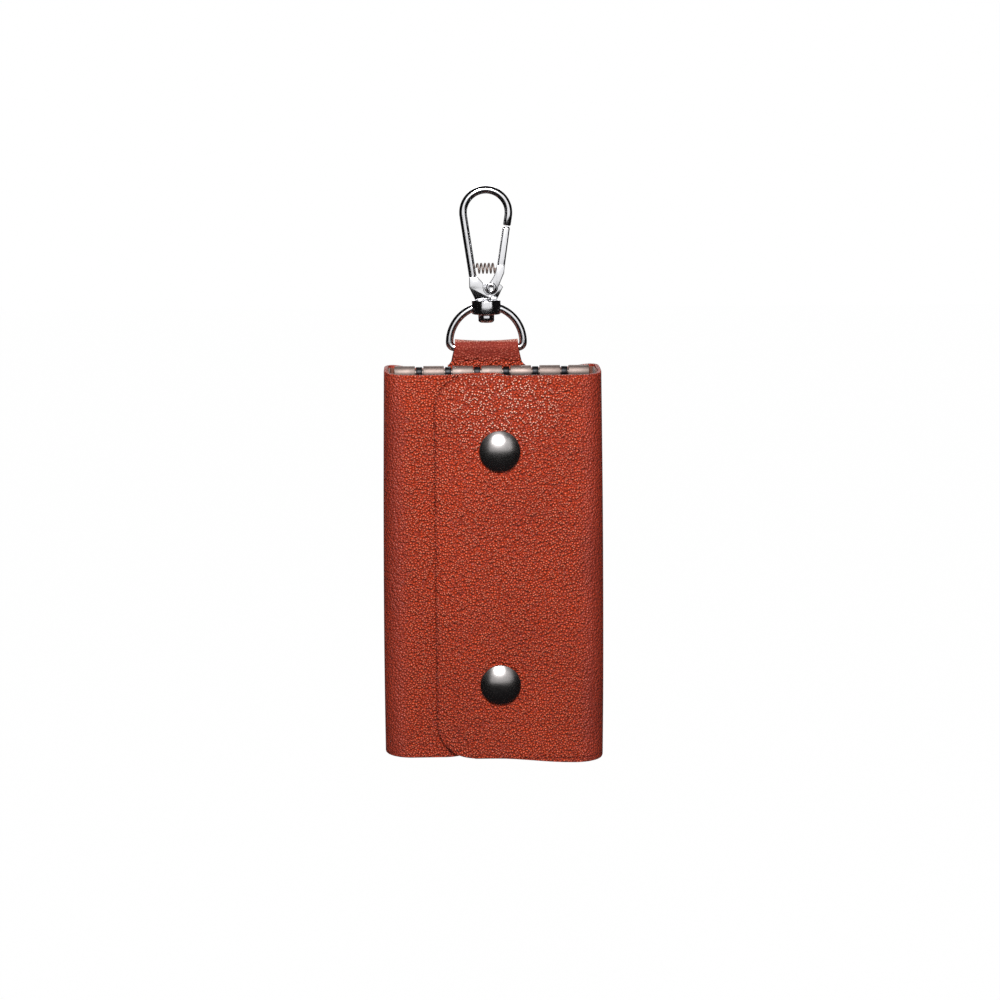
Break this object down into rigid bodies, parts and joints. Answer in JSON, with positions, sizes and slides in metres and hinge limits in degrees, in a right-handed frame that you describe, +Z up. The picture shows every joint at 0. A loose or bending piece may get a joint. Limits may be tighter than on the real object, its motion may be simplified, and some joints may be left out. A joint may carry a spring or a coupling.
{
  "type": "key case",
  "caption": "Leather key case with wrap-over snap flaps, sprung key hooks on a rolled steel plate inside, and a swivel clasp on a strap ring to hang it.",
  "frame": {"origin": "the point inside the top of the clasp's loop where it hangs", "axes": "+Z up along the clasp's axis, -Y the snapped front of the closed case, +X to the viewer's right"},
  "size_m": [0.065, 0.0282, 0.1744],
  "materials": {
    "leather": "pebbled red-brown cowhide, satin",
    "lining": "smooth brown split lining",
    "nickel": "polished nickel plate",
    "steel": "nickel-plated sheet steel",
    "gunmetal": "polished gunmetal plate",
    "black_steel": "black oxide steel",
    "fibreboard": "pressed fibreboard"
  },
  "bodies": {
    "hook": {"clasp_hook": "nickel", "clasp_rivet": "nickel", "clasp_spring": "nickel", "swivel_stud": "nickel"},
    "gate": {"clasp_gate": "nickel"},
    "ring": {"d_ring": "nickel"},
    "back": {"strap_tab": "leather", "back_leather": "leather", "backing_board": "fibreboard", "back_lining": "lining", "key_plate": "steel", "hook_axle": "steel", "plate_rivets": "steel"},
    "left_spine": {"left_spine_leather": "leather", "left_spine_lining": "lining"},
    "left_flap": {"left_flap_leather": "leather", "left_flap_lining": "lining", "upper_snap_stud": "steel", "upper_snap_post": "gunmetal", "lower_snap_stud": "steel", "lower_snap_post": "gunmetal"},
    "right_spine": {"right_spine_leather": "leather", "right_spine_lining": "lining"},
    "right_flap": {"right_flap_leather": "leather", "right_flap_lining": "lining", "upper_snap_cap": "gunmetal", "upper_snap_socket": "steel", "upper_snap_spring": "steel", "lower_snap_cap": "gunmetal", "lower_snap_socket": "steel", "lower_snap_spring": "steel"},
    "key_hook_1": {"key_hook_1": "black_steel"},
    "hook_leaf_1": {"hook_spring_1": "steel"},
    "key_hook_2": {"key_hook_2": "black_steel"},
    "hook_leaf_2": {"hook_spring_2": "steel"},
    "key_hook_3": {"key_hook_3": "black_steel"},
    "hook_leaf_3": {"hook_spring_3": "steel"},
    "key_hook_4": {"key_hook_4": "black_steel"},
    "hook_leaf_4": {"hook_spring_4": "steel"},
    "key_hook_5": {"key_hook_5": "black_steel"},
    "hook_leaf_5": {"hook_spring_5": "steel"},
    "key_hook_6": {"key_hook_6": "black_steel"},
    "hook_leaf_6": {"hook_spring_6": "steel"}
  },
  "joints": [
    {"name": "clasp_swivel", "type": "hinge", "parent": "hook", "child": "ring", "pos_m": [0, 0, -0.034], "axis": [0, 0, 1], "continuous": true},
    {"name": "gate_pivot", "type": "hinge", "parent": "hook", "child": "gate", "pos_m": [0.0015, 0, -0.0283], "axis": [0, -1, 0], "range_deg": [0, 24], "stiffness_Nm_per_rad": 0.02, "springref_deg": -20.05, "deforming": ["clasp_spring"]},
    {"name": "strap_swing", "type": "hinge", "parent": "ring", "child": "back", "pos_m": [0, 0, -0.04675], "axis": [1, 0, 0], "range_deg": [-90, 90]},
    {"name": "right_spine_fold", "type": "hinge", "parent": "back", "child": "right_spine", "pos_m": [0.03254, 0.00044, -0.11205], "axis": [0, 0, 1], "range_deg": [0, 90]},
    {"name": "right_flap_fold", "type": "hinge", "parent": "right_spine", "child": "right_flap", "pos_m": [0.03166, -0.01876, -0.11205], "axis": [0, 0, 1], "range_deg": [0, 90]},
    {"name": "left_spine_fold", "type": "hinge", "parent": "back", "child": "left_spine", "pos_m": [-0.02954, 0.00044, -0.11205], "axis": [0, 0, -1], "range_deg": [0, 45]},
    {"name": "left_flap_fold", "type": "hinge", "parent": "left_spine", "child": "left_flap", "pos_m": [-0.02866, -0.01676, -0.11205], "axis": [0, 0, -1], "range_deg": [0, 45]},
    {"name": "key_hook_1_swing", "type": "hinge", "parent": "back", "child": "key_hook_1", "pos_m": [-0.02075, -0.0032, -0.05405], "axis": [-1, 0, 0], "range_deg": [-2, 5]},
    {"name": "hook_leaf_1_flex", "type": "hinge", "parent": "key_hook_1", "child": "hook_leaf_1", "pos_m": [-0.02075, -0.00425, -0.06005], "axis": [1, 0, 0], "range_deg": [0, 12], "stiffness_Nm_per_rad": 0.004, "springref_deg": -5.73},
    {"name": "key_hook_2_swing", "type": "hinge", "parent": "back", "child": "key_hook_2", "pos_m": [-0.01185, -0.0032, -0.05405], "axis": [-1, 0, 0], "range_deg": [-2, 5]},
    {"name": "hook_leaf_2_flex", "type": "hinge", "parent": "key_hook_2", "child": "hook_leaf_2", "pos_m": [-0.01185, -0.00425, -0.06005], "axis": [1, 0, 0], "range_deg": [0, 12], "stiffness_Nm_per_rad": 0.004, "springref_deg": -5.73},
    {"name": "key_hook_3_swing", "type": "hinge", "parent": "back", "child": "key_hook_3", "pos_m": [-0.00295, -0.0032, -0.05405], "axis": [-1, 0, 0], "range_deg": [-2, 5]},
    {"name": "hook_leaf_3_flex", "type": "hinge", "parent": "key_hook_3", "child": "hook_leaf_3", "pos_m": [-0.00295, -0.00425, -0.06005], "axis": [1, 0, 0], "range_deg": [0, 12], "stiffness_Nm_per_rad": 0.004, "springref_deg": -5.73},
    {"name": "key_hook_4_swing", "type": "hinge", "parent": "back", "child": "key_hook_4", "pos_m": [0.00595, -0.0032, -0.05405], "axis": [-1, 0, 0], "range_deg": [-2, 5]},
    {"name": "hook_leaf_4_flex", "type": "hinge", "parent": "key_hook_4", "child": "hook_leaf_4", "pos_m": [0.00595, -0.00425, -0.06005], "axis": [1, 0, 0], "range_deg": [0, 12], "stiffness_Nm_per_rad": 0.004, "springref_deg": -5.73},
    {"name": "key_hook_5_swing", "type": "hinge", "parent": "back", "child": "key_hook_5", "pos_m": [0.01485, -0.0032, -0.05405], "axis": [-1, 0, 0], "range_deg": [-2, 5]},
    {"name": "hook_leaf_5_flex", "type": "hinge", "parent": "key_hook_5", "child": "hook_leaf_5", "pos_m": [0.01485, -0.00425, -0.06005], "axis": [1, 0, 0], "range_deg": [0, 12], "stiffness_Nm_per_rad": 0.004, "springref_deg": -5.73},
    {"name": "key_hook_6_swing", "type": "hinge", "parent": "back", "child": "key_hook_6", "pos_m": [0.02375, -0.0032, -0.05405], "axis": [-1, 0, 0], "range_deg": [-2, 5]},
    {"name": "hook_leaf_6_flex", "type": "hinge", "parent": "key_hook_6", "child": "hook_leaf_6", "pos_m": [0.02375, -0.00425, -0.06005], "axis": [1, 0, 0], "range_deg": [0, 12], "stiffness_Nm_per_rad": 0.004, "springref_deg": -5.73}
  ],
  "couplings": [
    {"joint": "right_flap_fold", "follows": "right_spine_fold", "ratio": 1},
    {"joint": "left_spine_fold", "follows": "right_spine_fold", "ratio": 0.5},
    {"joint": "left_flap_fold", "follows": "right_spine_fold", "ratio": 0.5}
  ]
}
